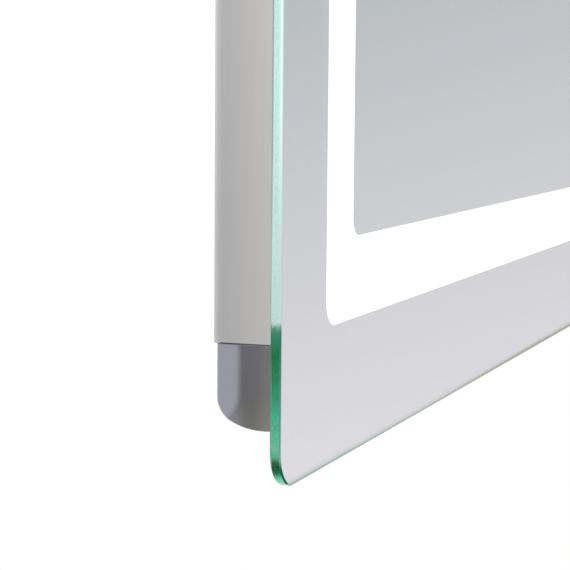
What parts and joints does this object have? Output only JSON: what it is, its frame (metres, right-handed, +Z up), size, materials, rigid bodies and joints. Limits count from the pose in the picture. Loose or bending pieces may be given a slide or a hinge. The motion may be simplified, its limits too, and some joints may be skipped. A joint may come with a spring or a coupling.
{
  "type": "lighted bathroom mirror",
  "caption": "Wall-hung rectangular mirror with a lit band set in from its edges, a shallow chassis behind the glass, and a rail that it hooks over.",
  "frame": {"origin": "centre of the wall rail's two screw holes, on the wall plane", "axes": "+X to the right seen from the front, +Y into the wall, +Z up; the glass looks along -Y"},
  "size_m": [0.8, 0.0425, 0.6],
  "materials": {
    "glass": "clear float glass with polished edges",
    "silvering": "silvered",
    "lit_band": "etched, lit from behind",
    "foam_tape": "foam",
    "channel_metal": "satin anodised",
    "cap_plastic": "moulded, fine satin",
    "zinc_screw": "zinc plated",
    "rivet_aluminium": "plain",
    "tray_steel": "white powder coat",
    "opal_acrylic": "opal",
    "led_tape": "flexible circuit",
    "led_chip": "white package with yellow phosphor",
    "white_lead": "insulation",
    "grey_lead": "insulation",
    "earth_lead": "green and yellow insulation",
    "white_plastic": "moulded",
    "circuit_board": "solder mask",
    "electronics": "mixed components",
    "box_plastic": "moulded",
    "terminal_nylon": "natural nylon",
    "brass": "plain",
    "black_rubber": "moulded",
    "rail_steel": "galvanised",
    "bumper_rubber": "soft"
  },
  "bodies": {
    "wall_rail": {"wall_rail": "rail_steel"},
    "mirror": {"back_tray": "tray_steel", "bonding_tape": "foam_tape", "cable_grommet": "black_rubber", "cord_clamp": "white_plastic", "cord_clamp_screws": "zinc_screw", "corner_links": "white_lead", "diffuser_bottom": "opal_acrylic", "diffuser_left": "opal_acrylic", "diffuser_right": "opal_acrylic", "diffuser_top": "opal_acrylic", "driver_board": "circuit_board", "driver_case_base": "white_plastic", "driver_case_lid": "white_plastic", "driver_parts": "electronics", "driver_screws": "zinc_screw", "earth_lead": "earth_lead", "earth_nut": "zinc_screw", "earth_ring": "zinc_screw", "earth_stud": "zinc_screw", "end_cap_bottom_left": "cap_plastic", "end_cap_bottom_right": "cap_plastic", "end_cap_screws": "zinc_screw", "end_cap_top_left": "cap_plastic", "end_cap_top_right": "cap_plastic", "frosted_light_band": "lit_band", "hanger_rail": "rail_steel", "hanger_rivets": "rivet_aluminium", "lead_clips": "white_plastic", "led_chips_bottom": "led_chip", "led_chips_left": "led_chip", "led_chips_right": "led_chip", "led_chips_top": "led_chip", "led_lead": "white_lead", "led_tape_bottom": "led_tape", "led_tape_left": "led_tape", "led_tape_right": "led_tape", "led_tape_top": "led_tape", "light_wall_bottom": "tray_steel", "light_wall_left": "tray_steel", "light_wall_right": "tray_steel", "light_wall_top": "tray_steel", "mirror_glass": "glass", "side_channel_left": "channel_metal", "side_channel_right": "channel_metal", "silver_coating_centre": "silvering", "silver_coating_outer": "silvering", "supply_lead": "grey_lead", "terminal_block": "terminal_nylon", "terminal_box": "box_plastic", "terminal_box_cover": "box_plastic", "terminal_box_screws": "zinc_screw", "terminal_screws": "brass", "tray_rivets": "rivet_aluminium", "wall_bumpers": "bumper_rubber"}
  },
  "joints": [
    {"name": "lift_off", "type": "slide", "parent": "wall_rail", "child": "mirror", "axis": [0, 0, 1], "range_m": [0, 0.015]}
  ]
}
